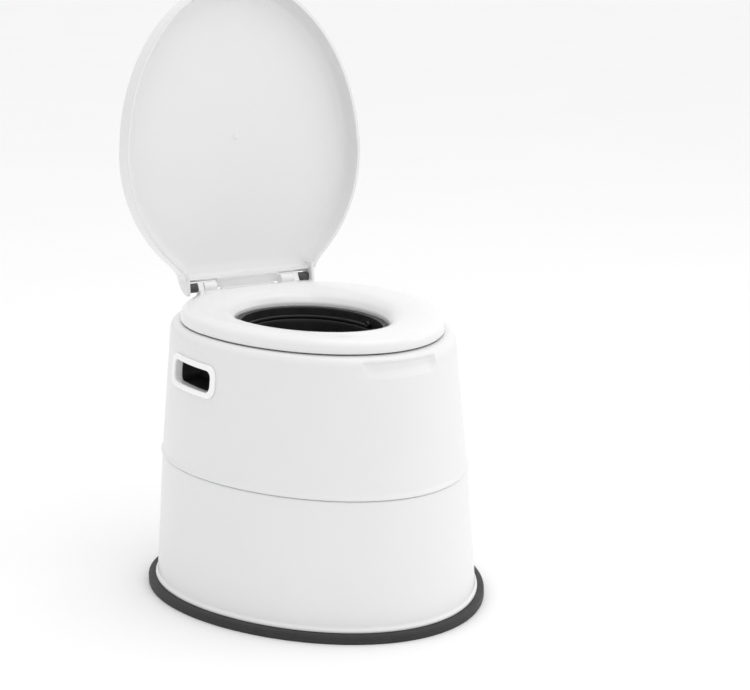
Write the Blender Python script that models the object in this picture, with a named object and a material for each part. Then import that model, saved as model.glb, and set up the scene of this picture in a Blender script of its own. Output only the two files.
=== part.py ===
"""Portable bucket toilet: two-piece oval body, seat, wrap-over lid and a lift-out inner bucket.

Lengths in the constants are millimetres and become metres when a mesh is made.
+Z is up, the front of the toilet faces -Y, and the origin is on the floor at the middle of the
base ring. The lid stands open, and everything else is in its place.
"""
import math

import bmesh
import bpy
from mathutils import Matrix, Vector

MM = 0.001

# Body: an oval that narrows upwards, in two shells that meet at a seam
BASE_HALF_WIDTH = 182.5
BASE_RING_HEIGHT = 10.0
RING_INNER_HALF_WIDTH = 162.5
FOOT_HALF_WIDTH = 172.4
SEAM_Z = 151.5
SEAM_HALF_WIDTH = 161.6
SHOULDER_Z = 290.0
SHOULDER_HALF_WIDTH = 148.0
DECK_Z = 301.0
WALL = 3.0
LENGTH_EXTRA_AT_BASE = 30.0
LENGTH_EXTRA_AT_SHOULDER = 43.0
CENTRE_SHIFT_AT_SHOULDER = 8.5
BACK_WIDENING = 0.105
BODY_POINTS = 56
SPIGOT_TOP_Z = 160.4
GAP = 0.3

# Hole for the bucket, shared by deck, seat and bucket as insets of one oval
HOLE_HALF_WIDTH = 80.5
HOLE_HALF_LENGTH = 102.8
HOLE_CENTRE_Y = 18.6
HOLE_WIDENING = 0.04
RECESS_INSET = -5.5
LEDGE_INSET = 3.8
LEDGE_TOP_Z = 295.7
LEDGE_THICKNESS = 3.0

# Plan outlines of lid and seat, each an oval with a narrow neck at the hinge:
# half width, front length, back length, widening towards the back, half width of the neck
LID_PLAN = (149.6, 190.0, 166.0, 0.04, 81.0)
SEAT_PLAN = (138.2, 181.0, 157.5, 0.08, 72.5)
PLAN_CENTRE_Y = 18.0
NECK_BLEND = 14.0
SIDE_POINTS = 20
REAR_POINTS = 6
LID_REAR_Y = 171.6
SEAT_REAR_Y = 169.0

# Hinge line
HINGE_Y = 178.0
HINGE_Z = 318.5
LID_OPEN_ANGLE = 94.0
LID_RIM_BELOW_HINGE = 12.0
LID_FLAP_HALF_WIDTH = 40.5
REAR_LIP_HEIGHT = 14.0
LID_DEPTH = 28.2
EAR_INNER_X = 79.3
EAR_OUTER_X = 83.0
PIN_RADIUS = 3.0
PIN_INNER_X = 43.0
PIN_OUTER_X = 81.3
PIN_HOLE_RADIUS = 3.4
BUSH_RADIUS = 5.5
BUSH_X = (66.2, 78.9)
SEAT_EAR_X = (58.5, 65.8)
KNUCKLE_RADIUS = 6.1
POST_X = (42.0, 58.1)
POST_RADIUS = 6.2
POST_FRONT_Y = 170.0
TONGUE_HALF_WIDTH = 36.0
BOLT_Y = 174.8
BOLT_TOP_Z = 310.0
BOLT_BOTTOM_Z = 283.0

# Hand holes
HANDLE_Y = 18.0
HANDLE_Z = 257.2
HANDLE_HALF_SIZE = (40.0, 11.8)
HANDLE_CORNER = 8.0
BEZEL_HALF_SIZE = (48.0, 18.5)
BEZEL_CORNER = 13.0
SLEEVE_WALL = 1.5
SLEEVE_DEPTH = 7.0
CUP_DEPTH = 32.0

# Bucket and its carrying handle
FLANGE_TOP_Z = 299.0
BUCKET_BOTTOM_Z = 45.0
BUCKET_LEDGE_Z = 286.0
BAIL_Z = 290.5
BAIL_OUTER_INSET = 7.8
BAIL_INNER_INSET = 11.6
BAIL_EYE_RADIUS = 3.6
BAIL_PIN_RADIUS = 1.6

BUMPER_PLACES = ((-100.0, 78.0), (100.0, 78.0), (-72.0, -85.0), (72.0, -85.0))
SIDES = (("left", -1.0), ("right", 1.0))

WHITE = ((0.86, 0.865, 0.87), 0.28)
BRIGHT_WHITE = ((0.92, 0.92, 0.92), 0.2)
SEAT_WHITE = ((0.9, 0.9, 0.9), 0.22)
BLACK_RUBBER = ((0.02, 0.02, 0.021), 0.75)
BLACK_PLASTIC = ((0.012, 0.012, 0.013), 0.4)
DARK_GREY = ((0.06, 0.06, 0.065), 0.45)
STEEL = ((0.6, 0.6, 0.6), 0.3)


# ---------------------------------------------------------------- scene helpers

def clear_scene():
    for old in list(bpy.data.objects):
        bpy.data.objects.remove(old, do_unlink=True)


def make_material(name, finish, metallic=0.0):
    colour, roughness = finish
    material = bpy.data.materials.new(name)
    material.use_nodes = True
    shader = material.node_tree.nodes["Principled BSDF"]
    shader.inputs["Base Color"].default_value = (*colour, 1.0)
    shader.inputs["Roughness"].default_value = roughness
    shader.inputs["Metallic"].default_value = metallic
    return material


def make_object(name, points, faces, material, origin=(0.0, 0.0, 0.0)):
    """A mesh object from points in millimetres, with its origin at the given place."""
    centre = Vector(origin)
    mesh = bpy.data.meshes.new(name)
    mesh.from_pydata([(Vector(point) - centre) * MM for point in points], [], faces)
    tidy = bmesh.new()
    tidy.from_mesh(mesh)
    bmesh.ops.recalc_face_normals(tidy, faces=tidy.faces)
    tidy.to_mesh(mesh)
    tidy.free()
    mesh.materials.append(material)
    mesh.shade_smooth()
    mesh.set_sharp_from_angle(angle=math.radians(35.0))
    made = bpy.data.objects.new(name, mesh)
    made.location = centre * MM
    bpy.context.scene.collection.objects.link(made)
    return made


def loft(name, loops, material, closed=True, origin=(0.0, 0.0, 0.0)):
    """Join loops of equal length. A closed loft runs back to its first loop like a tyre;
    an open one is capped at both ends. A loop of one point closes the surface in a fan."""
    points = []
    starts = []
    for loop in loops:
        starts.append(len(points))
        points.extend(loop)
    faces = []
    pairs = list(zip(range(len(loops)), range(1, len(loops))))
    if closed:
        pairs.append((len(loops) - 1, 0))
    for first, second in pairs:
        faces.extend(strip(starts[first], len(loops[first]), starts[second], len(loops[second])))
    if not closed:
        for end in (0, len(loops) - 1):
            count = len(loops[end])
            if count > 1:
                faces.append([starts[end] + step for step in range(count)])
    return make_object(name, points, faces, material, origin)


def strip(start_a, count_a, start_b, count_b):
    count = max(count_a, count_b)
    faces = []
    for step in range(count):
        after = (step + 1) % count
        if count_a == 1:
            faces.append([start_a, start_b + step, start_b + after])
        elif count_b == 1:
            faces.append([start_a + step, start_a + after, start_b])
        else:
            faces.append([start_a + step, start_a + after, start_b + after, start_b + step])
    return faces


def cylinder(name, start, end, radius, material, sides=20):
    """A round bar between two points in millimetres."""
    start, end = Vector(start), Vector(end)
    along = (end - start).normalized()
    turn = along.to_track_quat("Z", "Y").to_matrix()
    loops = []
    for centre in (start, end):
        loop = []
        for step in range(sides):
            angle = math.tau * (step + 0.5) / sides
            loop.append(centre + turn @ Vector((radius * math.cos(angle), radius * math.sin(angle), 0.0)))
        loops.append(loop)
    return loft(name, loops, material, closed=False)


def box(name, low, high, material):
    low, high = Vector(low), Vector(high)
    loops = []
    for z in (low.z, high.z):
        loops.append([(low.x, low.y, z), (high.x, low.y, z), (high.x, high.y, z), (low.x, high.y, z)])
    return loft(name, loops, material, closed=False)


def plate(name, outline, x_range, material):
    """A flat plate: an outline of (y, z) points given thickness along X."""
    loops = [[(x, y, z) for y, z in outline] for x in x_range]
    return loft(name, loops, material, closed=False)


def apply_boolean(target, tool, operation):
    """Cut the tool out of the target, or join it on, and remove the tool."""
    bpy.context.view_layer.update()
    change = target.modifiers.new("boolean", "BOOLEAN")
    change.operation = operation
    change.solver = "EXACT"
    change.object = tool
    graph = bpy.context.evaluated_depsgraph_get()
    result = bpy.data.meshes.new_from_object(target.evaluated_get(graph))
    target.modifiers.remove(change)
    old = target.data
    target.data = result
    bpy.data.meshes.remove(old)
    result.name = target.name
    bpy.data.objects.remove(tool, do_unlink=True)


def gather(pieces):
    """Separate closed pieces put together as one tool, for a single boolean."""
    merged = bmesh.new()
    for piece in pieces:
        shape = piece.data.copy()
        shape.transform(Matrix.Translation(piece.location))
        merged.from_mesh(shape)
        bpy.data.meshes.remove(shape)
        bpy.data.objects.remove(piece, do_unlink=True)
    mesh = bpy.data.meshes.new("tools")
    merged.to_mesh(mesh)
    merged.free()
    made = bpy.data.objects.new("tools", mesh)
    bpy.context.scene.collection.objects.link(made)
    return made


def cut(target, tool):
    apply_boolean(target, tool, "DIFFERENCE")


def join(target, tool):
    apply_boolean(target, tool, "UNION")


# ---------------------------------------------------------------- plan outlines

def blend(low, high, share):
    return low + (high - low) * share


def smooth_step(value):
    value = min(max(value, 0.0), 1.0)
    return value * value * (3.0 - 2.0 * value)


def body_point(half_width, z, angle):
    """A point on the body's plan oval, which is wider at the back than at the front."""
    height = z / SHOULDER_Z
    half_length = half_width + blend(LENGTH_EXTRA_AT_BASE, LENGTH_EXTRA_AT_SHOULDER, height)
    across = math.cos(angle) * (1.0 + BACK_WIDENING * math.sin(angle))
    along = math.sin(angle)
    return Vector((half_width * across, CENTRE_SHIFT_AT_SHOULDER * height + half_length * along, z))


def body_oval(half_width, z):
    """Horizontal section of the body with the given half width, at height z."""
    return [body_point(half_width, z, math.tau * step / BODY_POINTS) for step in range(BODY_POINTS)]


def wall_half_width(z):
    """Outer half width of the body wall at height z."""
    if z < SEAM_Z:
        return blend(FOOT_HALF_WIDTH, SEAM_HALF_WIDTH, (z - BASE_RING_HEIGHT) / (SEAM_Z - BASE_RING_HEIGHT))
    return blend(SEAM_HALF_WIDTH, SHOULDER_HALF_WIDTH, (z - SEAM_Z) / (SHOULDER_Z - SEAM_Z))


def wall_point(side, y, z, outwards):
    """A point on the body's side wall, moved out of (or into) the wall."""
    def surface(at_y, at_z):
        half_width = wall_half_width(at_z)
        angle = 0.0
        for _ in range(6):
            here = body_point(half_width, at_z, angle)
            angle += (at_y - here.y) / half_width
        here = body_point(half_width, at_z, angle)
        return Vector((side * here.x, at_y, at_z))

    centre = surface(y, z)
    along_y = surface(y + 1.0, z) - centre
    along_z = surface(y, z + 1.0) - centre
    normal = along_y.cross(along_z).normalized()
    if normal.x * side < 0.0:
        normal.negate()
    return centre + normal * outwards


def hole_oval(inset, z, count=BODY_POINTS):
    """The oval of the bucket hole, made smaller by the inset."""
    loop = []
    for step in range(count):
        loop.append(hole_point(inset, z, math.tau * step / count))
    return loop


def hole_point(inset, z, angle):
    x = (HOLE_HALF_WIDTH - inset) * math.cos(angle) * (1.0 + HOLE_WIDENING * math.sin(angle))
    y = HOLE_CENTRE_Y + (HOLE_HALF_LENGTH - inset) * math.sin(angle)
    return Vector((x, y, z))


def plan_half_width(plan, y, inset):
    """Half width of a plan outline at y: an oval, no narrower than the neck."""
    oval_half_width, front_length, back_length, widening, neck = plan
    length = front_length if y < PLAN_CENTRE_Y else back_length
    along = (y - PLAN_CENTRE_Y) / (length - inset)
    along = min(max(along, -1.0), 1.0)
    oval = (oval_half_width - inset) * math.sqrt(1.0 - along * along) * (1.0 + widening * along)
    if y < PLAN_CENTRE_Y:
        return oval
    neck -= inset
    return 0.5 * (oval + neck + math.sqrt((oval - neck) ** 2 + NECK_BLEND ** 2))


def plan_outline(plan, inset, rear_y):
    """Plan outline of lid or seat, from the front tip round by +X, and how near the rear edge
    each point is (1 on the straight rear edge)."""
    tip_y = PLAN_CENTRE_Y - plan[1] + inset
    side = []
    for step in range(1, SIDE_POINTS + 1):
        share = 0.5 - 0.5 * math.cos(math.pi * step / SIDE_POINTS)
        y = blend(tip_y, rear_y, share)
        side.append((plan_half_width(plan, y, inset), y))
    corner_x = side[-1][0]
    outline = [((0.0, tip_y), 0.0)]
    outline += [(point, 0.0) for point in side[:-1]]
    for step in range(REAR_POINTS + 1):
        outline.append(((blend(corner_x, -corner_x, step / REAR_POINTS), rear_y), 1.0))
    outline += [((-x, y), 0.0) for x, y in reversed(side[:-1])]
    return outline


def rounded_rectangle(half_size, corner, corner_steps=4, run_steps=6):
    """Outline of (y, z) offsets from the middle of a rounded rectangle. Its two long straight
    runs are divided, so that they can follow a curved wall."""
    straight = half_size[0] - corner
    outline = []
    for quarter, (sign_y, sign_z) in enumerate(((1, 1), (-1, 1), (-1, -1), (1, -1))):
        for step in range(corner_steps + 1):
            angle = math.pi / 2.0 * (quarter + step / corner_steps)
            y = sign_y * straight + corner * math.cos(angle)
            z = sign_z * (half_size[1] - corner) + corner * math.sin(angle)
            outline.append((y, z))
        if quarter in (0, 2):
            for step in range(1, run_steps):
                y = sign_y * straight * (1.0 - 2.0 * step / run_steps)
                outline.append((y, sign_z * half_size[1]))
    return outline


# ---------------------------------------------------------------- body

def finger_scoop(loop):
    """Press the middle of the front shoulder in a little, as a place for fingertips."""
    pressed = []
    for point in loop:
        across = smooth_step((46.0 - abs(point.x)) / 12.0)
        up = smooth_step((point.z - 283.0) / 12.0) * smooth_step((300.0 - point.z) / 4.0)
        push = 3.5 * across * up if point.y < 0.0 else 0.0
        pressed.append(point + Vector((0.0, push, 0.0)))
    return pressed


def build_base_ring(material):
    edge = BASE_HALF_WIDTH
    profile = ((edge - 0.7, 0.0), (edge, 1.0), (edge, 8.0), (edge - 1.0, 9.6),
               (edge - 2.7, BASE_RING_HEIGHT), (RING_INNER_HALF_WIDTH, BASE_RING_HEIGHT),
               (RING_INNER_HALF_WIDTH, 0.0))
    loft("base_ring", [body_oval(half_width, z) for half_width, z in profile], material)


def build_lower_shell(material):
    bottom = BASE_RING_HEIGHT + GAP
    top = SEAM_Z - 0.6
    spigot = SEAM_HALF_WIDTH - WALL - 1.2
    foot = BASE_HALF_WIDTH - 8.0
    profile = [(foot, bottom), (foot - 1.4, 14.0), (wall_half_width(22.0), 22.0),
               (wall_half_width(85.0), 85.0), (wall_half_width(149.5), 149.5),
               (SEAM_HALF_WIDTH - 0.6, top), (spigot, top), (spigot - 0.4, SPIGOT_TOP_Z - 0.9),
               (spigot - 1.1, SPIGOT_TOP_Z), (spigot - 2.5, SPIGOT_TOP_Z), (spigot - 2.5, 149.0),
               (wall_half_width(144.0) - WALL, 144.0), (wall_half_width(85.0) - WALL, 85.0),
               (wall_half_width(22.0) - WALL, 22.0), (foot - 5.0, bottom + WALL),
               (foot - 11.0, bottom + WALL), (foot - 11.0, bottom)]
    loft("lower_shell", [body_oval(half_width, z) for half_width, z in profile], material)


def build_upper_shell(material):
    bottom = SEAM_Z + 0.4
    outer = [(SEAM_HALF_WIDTH + 0.6, bottom), (SEAM_HALF_WIDTH + 1.1, 153.5),
             (wall_half_width(157.0), 157.0)]
    outer += [(wall_half_width(z), z) for z in (222.0, 283.0)]
    shoulder = SHOULDER_HALF_WIDTH
    outer += [(shoulder, SHOULDER_Z), (shoulder - 0.8, 294.0), (shoulder - 3.0, 297.6),
              (shoulder - 6.0, 300.0), (shoulder - 9.5, DECK_Z)]
    inner = [(shoulder - 8.0, DECK_Z - WALL), (shoulder - 5.3, 296.2), (shoulder - 3.8, 292.0)]
    inner += [(wall_half_width(z) - WALL, z) for z in (283.0, 222.0)]
    inner += [(SEAM_HALF_WIDTH - WALL, bottom)]
    ledge_bottom = LEDGE_TOP_Z - LEDGE_THICKNESS
    hole = ((RECESS_INSET, DECK_Z), (RECESS_INSET, LEDGE_TOP_Z), (LEDGE_INSET, LEDGE_TOP_Z),
            (LEDGE_INSET, ledge_bottom), (RECESS_INSET + 2.5, ledge_bottom),
            (RECESS_INSET - WALL, DECK_Z - WALL))
    loops = [finger_scoop(body_oval(half_width, z)) for half_width, z in outer]
    loops += [hole_oval(inset, z) for inset, z in hole]
    loops += [finger_scoop(body_oval(half_width, z)) for half_width, z in inner]
    shell = loft("upper_shell", loops, material)
    opening = (HANDLE_HALF_SIZE[0] + SLEEVE_WALL + 0.8, HANDLE_HALF_SIZE[1] + SLEEVE_WALL + 0.8)
    for _, side in SIDES:
        outline = rounded_rectangle(opening, HANDLE_CORNER + SLEEVE_WALL)
        cutter = plate("handle_cutter", [(HANDLE_Y + y, HANDLE_Z + z) for y, z in outline],
                       (side * 120.0, side * 180.0), material)
        cut(shell, cutter)
        hinge_x = side * sum(POST_X) / 2.0
        cut(shell, cylinder("bolt_cutter", (hinge_x, BOLT_Y, 290.0), (hinge_x, BOLT_Y, 305.0),
                            PIN_HOLE_RADIUS, material))


def handle_loop(side, half_size, corner, outwards):
    outline = rounded_rectangle(half_size, corner)
    return [wall_point(side, HANDLE_Y + y, HANDLE_Z + z, outwards) for y, z in outline]


def build_handle_bezel(name, side, material):
    """Raised frame round the hand hole, with a short sleeve through the wall."""
    wide, high = BEZEL_HALF_SIZE
    hole_wide, hole_high = HANDLE_HALF_SIZE
    profile = ((0.0, GAP, BEZEL_CORNER), (0.3, 1.8, BEZEL_CORNER), (2.4, 3.2, BEZEL_CORNER - 2.0))
    loops = []
    for inset, outwards, corner in profile:
        loops.append(handle_loop(side, (wide - inset, high - inset), corner, outwards))
    loops.append(handle_loop(side, (hole_wide + 2.0, hole_high + 2.0), HANDLE_CORNER + 1.5, 3.2))
    loops.append(handle_loop(side, (hole_wide, hole_high), HANDLE_CORNER, 1.6))
    loops.append(handle_loop(side, (hole_wide, hole_high), HANDLE_CORNER, -SLEEVE_DEPTH))
    sleeve = (hole_wide + SLEEVE_WALL, hole_high + SLEEVE_WALL)
    loops.append(handle_loop(side, sleeve, HANDLE_CORNER + SLEEVE_WALL, -SLEEVE_DEPTH))
    loops.append(handle_loop(side, sleeve, HANDLE_CORNER + SLEEVE_WALL, GAP))
    loft(name, loops, material)


def build_grip_cup(name, side, material):
    """Closed pocket behind the hand hole, fixed to the inside of the wall."""
    front = -(WALL + 0.6)
    back_x = side * (wall_half_width(HANDLE_Z) - CUP_DEPTH)
    wide, high = HANDLE_HALF_SIZE

    def back_loop(half_size, corner, x):
        outline = rounded_rectangle(half_size, corner)
        return [Vector((x, HANDLE_Y + y, HANDLE_Z + z)) for y, z in outline]

    loops = [back_loop((wide + 1.5, high + 1.5), HANDLE_CORNER, back_x),
             handle_loop(side, (wide + 5.5, high + 5.5), HANDLE_CORNER + 5.0, front),
             handle_loop(side, (wide + 3.0, high + 3.0), HANDLE_CORNER + 2.5, front),
             back_loop((wide - 0.7, high - 0.7), HANDLE_CORNER - 1.5, back_x + side * 2.2)]
    loft(name, loops, material, closed=False)


# ---------------------------------------------------------------- seat, lid and hinges

def seat_loop(share, z):
    """A loop of the seat ring: share 0 is the edge of the opening, 1 the outer edge."""
    loop = []
    for (x, y), _ in plan_outline(SEAT_PLAN, 0.0, SEAT_REAR_Y):
        angle = math.atan2((y - HOLE_CENTRE_Y) / HOLE_HALF_LENGTH, x / HOLE_HALF_WIDTH)
        inner = hole_point(0.0, z, angle)
        loop.append(inner.lerp(Vector((x, y, z)), share))
    return loop


def build_seat(material):
    profile = ((1.0, 303.5), (1.0, 308.0), (0.985, 312.5), (0.93, 316.2), (0.82, 318.3), (0.66, 318.8),
               (0.45, 317.8), (0.25, 315.3), (0.1, 311.8), (0.02, 307.5), (0.0, 304.0), (0.01, 301.4),
               (0.05, 301.4), (0.07, 306.0), (0.3, 311.5), (0.66, 315.4), (0.9, 313.0), (0.95, 303.5))
    hinge = (0.0, HINGE_Y, HINGE_Z)
    seat = loft("seat_ring", [seat_loop(share, z) for share, z in profile], material, origin=hinge)
    additions = [box("tongue", (-TONGUE_HALF_WIDTH, HINGE_Y - 13.0, 306.4),
                     (TONGUE_HALF_WIDTH, HINGE_Y + 3.0, 316.2), material)]
    for _, side in SIDES:
        near, far = sorted((side * SEAT_EAR_X[0], side * SEAT_EAR_X[1]))
        ear = box("ear", (near, HINGE_Y - 14.0, 306.9), (far, HINGE_Y, 316.2), material)
        join(ear, cylinder("knuckle", (near - 0.1, HINGE_Y, HINGE_Z), (far + 0.1, HINGE_Y, HINGE_Z),
                           KNUCKLE_RADIUS, material))
        cut(ear, cylinder("pin_hole", (near - 2.0, HINGE_Y, HINGE_Z), (far + 2.0, HINGE_Y, HINGE_Z),
                          PIN_HOLE_RADIUS, material))
        additions.append(ear)
    for x, y in BUMPER_PLACES:
        additions.append(cylinder("boss", (x, y, 303.9), (x, y, 316.2), 7.0, material, 16))
    join(seat, gather(additions))


def build_seat_bumpers(material):
    for number, (x, y) in enumerate(BUMPER_PLACES, start=1):
        bottom = Vector((x, y, DECK_Z + GAP))
        top = Vector((x, y, 303.6))
        cylinder(f"seat_bumper_{number}", bottom, top, 5.5, material, 16)


def lid_loop(inset, height):
    """A loop of the lid with the lid closed: height is measured up from its rim, and the rim
    is cut back along the rear edge to clear the hinges."""
    loop = []
    for (x, y), rear in plan_outline(LID_PLAN, inset, LID_REAR_Y - inset):
        weight = rear * max(0.0, 1.0 - inset / 12.0)
        lifted = REAR_LIP_HEIGHT + height * (1.0 - REAR_LIP_HEIGHT / LID_DEPTH)
        z = HINGE_Z - LID_RIM_BELOW_HINGE + blend(height, lifted, weight)
        loop.append(Vector((x, y, z)))
    return loop


def build_lid(material):
    outer = ((0.4, 0.0), (0.0, 1.2), (0.1, 14.0), (0.4, 23.4), (1.4, 26.0), (3.4, 27.5), (7.0, LID_DEPTH),
             (22.0, LID_DEPTH + 0.3))
    inner = ((24.0, 25.3), (16.0, 24.6), (10.0, 22.4), (6.2, 18.2), (4.2, 11.0), (3.0, 0.0))
    rim_z = HINGE_Z - LID_RIM_BELOW_HINGE
    top = [lid_loop(inset, height) for inset, height in outer]
    under = [lid_loop(inset, height) for inset, height in inner]
    loops = [[Vector((0.0, 0.0, rim_z + 26.2))]] + under + top + [[Vector((0.0, 0.0, rim_z + 29.5))]]
    lid = loft("lid", loops, material, closed=False, origin=(0.0, HINGE_Y, HINGE_Z))
    additions = [box("flap", (-LID_FLAP_HALF_WIDTH, HINGE_Y - 9.0, HINGE_Z + 0.4),
                     (LID_FLAP_HALF_WIDTH, HINGE_Y + 1.5, HINGE_Z + 2.9), material)]
    for _, side in SIDES:
        outline = [(HINGE_Y - 18.0, HINGE_Z - 11.5), (HINGE_Y + 5.0, HINGE_Z - 11.5)]
        for step in range(9):
            angle = math.radians(blend(6.0, 90.0, step / 8.0))
            outline.append((HINGE_Y - 18.0 + 26.0 * math.cos(angle),
                            HINGE_Z - 11.5 + 27.0 * math.sin(angle)))
        ear = plate("ear", outline, (side * EAR_INNER_X, side * EAR_OUTER_X), material)
        cut(ear, cylinder("pin_hole", (side * 60.0, HINGE_Y, HINGE_Z), (side * 81.7, HINGE_Y, HINGE_Z),
                          PIN_HOLE_RADIUS, material))
        additions.append(ear)
    tool = gather(additions)
    tool.data.transform(Matrix.Translation(-lid.location))
    tool.location = lid.location
    join(lid, tool)
    lid.rotation_euler = (-math.radians(LID_OPEN_ANGLE), 0.0, 0.0)


def build_hinge(name, side, white, dark, steel):
    """Everything that carries the lid and the seat on one side."""
    def across(x_range, radius, label, material, sides=20):
        ends = [(side * x, HINGE_Y, HINGE_Z) for x in x_range]
        return cylinder(label, ends[0], ends[1], radius, material, sides)

    outline = [(POST_FRONT_Y, DECK_Z + GAP), (HINGE_Y + POST_RADIUS, DECK_Z + GAP)]
    for step in range(9):
        angle = math.pi * step / 8.0
        outline.append((HINGE_Y + POST_RADIUS * math.cos(angle), HINGE_Z + POST_RADIUS * math.sin(angle)))
    post = plate(f"hinge_post_{name}", outline, (side * POST_X[0], side * POST_X[1]), white)
    cut(post, across((30.0, 70.0), PIN_HOLE_RADIUS, "pin_bore", white))
    bolt_x = side * sum(POST_X) / 2.0
    cut(post, cylinder("bolt_bore", (bolt_x, BOLT_Y, 299.0), (bolt_x, BOLT_Y, BOLT_TOP_Z + 1.0),
                       PIN_HOLE_RADIUS, white))

    across((PIN_INNER_X, PIN_OUTER_X), PIN_RADIUS, f"hinge_pin_{name}", steel)
    bush = across(BUSH_X, BUSH_RADIUS, f"hinge_bush_{name}", dark, 24)
    cut(bush, across((60.0, 85.0), PIN_HOLE_RADIUS, "bush_bore", dark))

    def upright(low, high, radius, label, material, sides=20):
        return cylinder(label, (bolt_x, BOLT_Y, low), (bolt_x, BOLT_Y, high), radius, material, sides)

    upright(BOLT_BOTTOM_Z, BOLT_TOP_Z, PIN_RADIUS, f"hinge_bolt_{name}", steel)
    washer_top = DECK_Z - WALL - GAP
    washer = upright(washer_top - 1.5, washer_top, 5.2, f"hinge_washer_{name}", steel)
    cut(washer, upright(290.0, 300.0, PIN_HOLE_RADIUS, "washer_bore", steel))
    nut_top = washer_top - 1.5 - GAP
    nut = upright(nut_top - 7.0, nut_top, 5.0, f"hinge_nut_{name}", white)
    wing_low = (bolt_x - 11.0, BOLT_Y - 1.2, nut_top - 9.0)
    wing_high = (bolt_x + 11.0, BOLT_Y + 1.2, nut_top - 1.0)
    join(nut, box("wings", wing_low, wing_high, white))
    cut(nut, upright(270.0, 300.0, PIN_HOLE_RADIUS, "nut_bore", white))


# ---------------------------------------------------------------- bucket

def build_bucket(material):
    ledge_inner = 12.2
    profile = ((21.0, BUCKET_BOTTOM_Z + 1.0), (20.0, BUCKET_BOTTOM_Z + 4.0), (9.8, 281.5), (4.6, 283.0),
               (4.6, 296.2), (2.2, 296.2), (2.2, 298.4), (2.8, FLANGE_TOP_Z), (6.4, FLANGE_TOP_Z),
               (7.0, 298.4), (7.0, BUCKET_LEDGE_Z), (ledge_inner, BUCKET_LEDGE_Z),
               (ledge_inner + 0.4, 284.5), (22.2, BUCKET_BOTTOM_Z + 5.0), (24.0, BUCKET_BOTTOM_Z + 2.5))
    loops = [hole_oval(inset, z, 48) for inset, z in profile]
    bucket = loft("bucket", loops, material, closed=False)
    for _, side in SIDES:
        cut(bucket, cylinder("pivot_hole", (side * 72.0, HOLE_CENTRE_Y, BAIL_Z),
                             (side * 79.0, HOLE_CENTRE_Y, BAIL_Z),
                             BAIL_PIN_RADIUS + GAP, material, 12))


def build_bail(material):
    """Carrying handle of the bucket, folded back on the ledge inside the collar."""
    low, high = BUCKET_LEDGE_Z + 0.5, BAIL_Z
    loops = []
    steps = 20
    for step in range(steps + 1):
        angle = math.pi * step / steps
        loops.append([hole_point(BAIL_OUTER_INSET, low, angle), hole_point(BAIL_OUTER_INSET, high, angle),
                      hole_point(BAIL_INNER_INSET, high, angle), hole_point(BAIL_INNER_INSET, low, angle)])
    pivot = (0.0, HOLE_CENTRE_Y, BAIL_Z)
    bail = loft("bucket_bail", loops, material, closed=False, origin=pivot)
    for _, side in SIDES:
        ends = [(side * (HOLE_HALF_WIDTH - inset), HOLE_CENTRE_Y, BAIL_Z)
                for inset in (BAIL_INNER_INSET, BAIL_OUTER_INSET)]
        join(bail, cylinder("eye", ends[0], ends[1], BAIL_EYE_RADIUS, material))
        cut(bail, cylinder("eye_bore", (side * 60.0, HOLE_CENTRE_Y, BAIL_Z),
                           (side * 80.0, HOLE_CENTRE_Y, BAIL_Z),
                           BAIL_PIN_RADIUS + GAP, material, 12))


def build_bail_pivot(name, side, material):
    cylinder(name, (side * 69.6, HOLE_CENTRE_Y, BAIL_Z), (side * 75.7, HOLE_CENTRE_Y, BAIL_Z),
             BAIL_PIN_RADIUS, material, 12)


def main():
    clear_scene()
    white = make_material("body_white", WHITE)
    bright = make_material("bezel_white", BRIGHT_WHITE)
    seat_white = make_material("seat_white", SEAT_WHITE)
    rubber = make_material("black_rubber", BLACK_RUBBER)
    black = make_material("black_plastic", BLACK_PLASTIC)
    dark = make_material("dark_grey_plastic", DARK_GREY)
    steel = make_material("steel", STEEL, metallic=1.0)

    build_base_ring(rubber)
    build_lower_shell(white)
    build_upper_shell(white)
    build_seat(seat_white)
    build_seat_bumpers(rubber)
    build_lid(seat_white)
    build_bucket(black)
    build_bail(black)
    for name, side in SIDES:
        build_handle_bezel(f"handle_bezel_{name}", side, bright)
        build_grip_cup(f"grip_cup_{name}", side, black)
        build_hinge(name, side, seat_white, dark, steel)
        build_bail_pivot(f"bail_pivot_{name}", side, steel)


main()
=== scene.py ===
"""Looks for the portable bucket toilet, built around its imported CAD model.

Lengths in the constants and in all the helpers are millimetres, in the CAD model's frame:
+Z up, front towards -Y, origin on the floor at the middle of the base ring.
"""
import math

import bmesh
import bpy
from mathutils import Matrix, Vector

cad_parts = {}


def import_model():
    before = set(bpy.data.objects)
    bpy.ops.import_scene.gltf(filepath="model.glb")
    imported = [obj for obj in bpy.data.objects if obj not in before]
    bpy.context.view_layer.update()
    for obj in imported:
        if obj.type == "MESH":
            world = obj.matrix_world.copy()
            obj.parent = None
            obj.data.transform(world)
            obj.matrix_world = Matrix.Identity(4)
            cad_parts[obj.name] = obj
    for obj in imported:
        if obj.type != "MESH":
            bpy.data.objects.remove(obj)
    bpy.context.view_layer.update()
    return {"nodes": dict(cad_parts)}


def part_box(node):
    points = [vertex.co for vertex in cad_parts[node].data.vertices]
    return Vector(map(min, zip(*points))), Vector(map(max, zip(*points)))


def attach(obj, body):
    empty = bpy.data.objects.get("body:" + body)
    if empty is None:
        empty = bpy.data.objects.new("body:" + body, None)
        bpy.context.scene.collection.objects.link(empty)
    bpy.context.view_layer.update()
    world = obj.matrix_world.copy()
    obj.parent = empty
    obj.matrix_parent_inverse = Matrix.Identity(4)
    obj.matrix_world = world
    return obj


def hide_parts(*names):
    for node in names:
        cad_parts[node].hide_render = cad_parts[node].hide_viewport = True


MM = 0.001

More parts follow.
